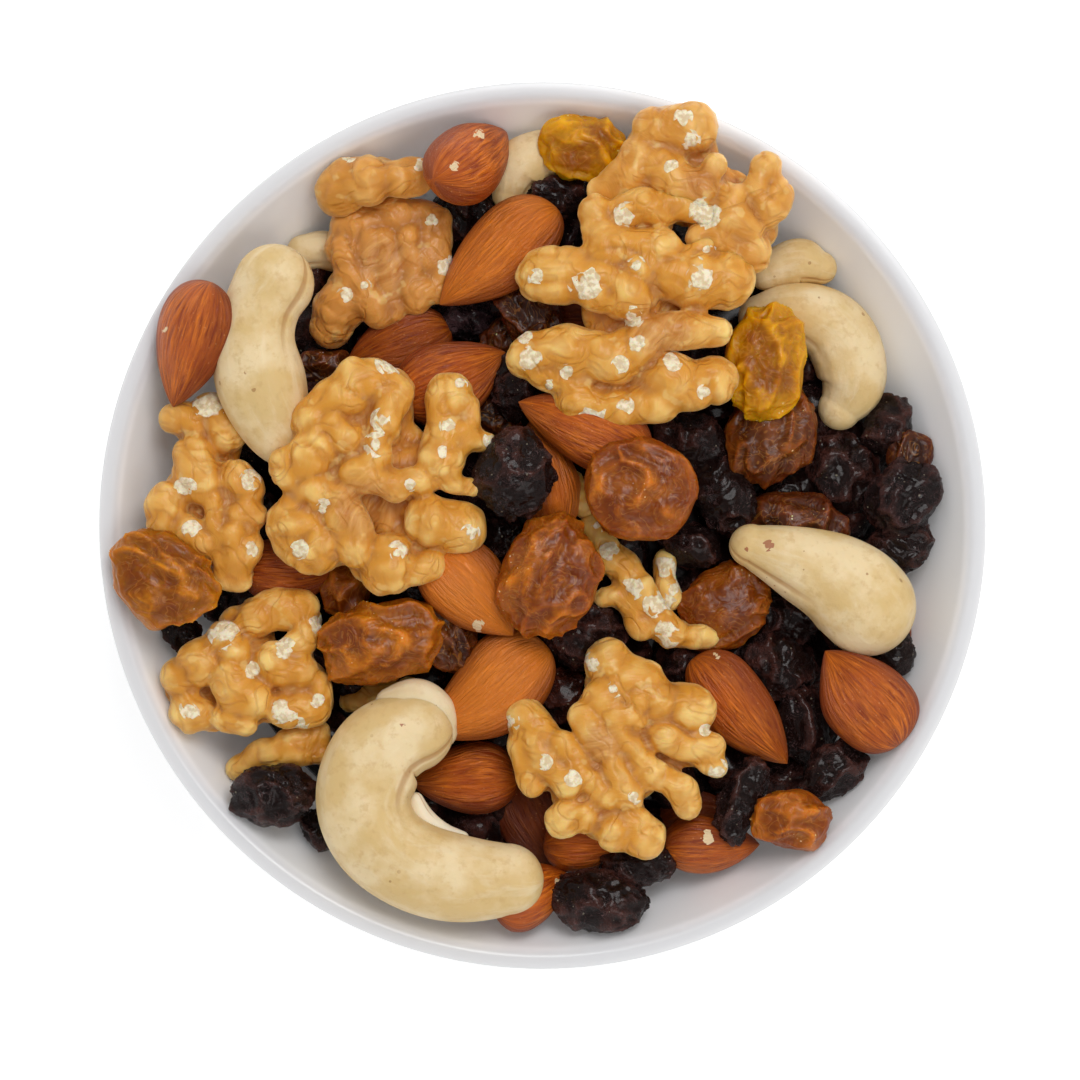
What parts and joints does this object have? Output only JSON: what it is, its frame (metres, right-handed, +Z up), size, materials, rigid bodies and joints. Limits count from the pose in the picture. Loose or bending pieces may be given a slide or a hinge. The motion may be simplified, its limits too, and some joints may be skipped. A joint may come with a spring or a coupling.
{
  "type": "bowl of trail mix",
  "caption": "Round white footed bowl heaped over its rim with trail mix: walnut halves, cashews, almonds, golden raisins and dark raisins.",
  "frame": {"origin": "middle of the underside of the bowl's foot ring", "axes": "+Z up along the bowl's axis, +X to the right and +Y away from the viewer in the top view"},
  "size_m": [0.1244, 0.1244, 0.0611],
  "materials": {
    "bowl_glaze": "smooth white glaze",
    "trail_mix": "mixed nuts and raisins, satin to glossy"
  },
  "bodies": {
    "root": {"bowl": "bowl_glaze", "trail_mix": "trail_mix"}
  },
  "joints": []
}
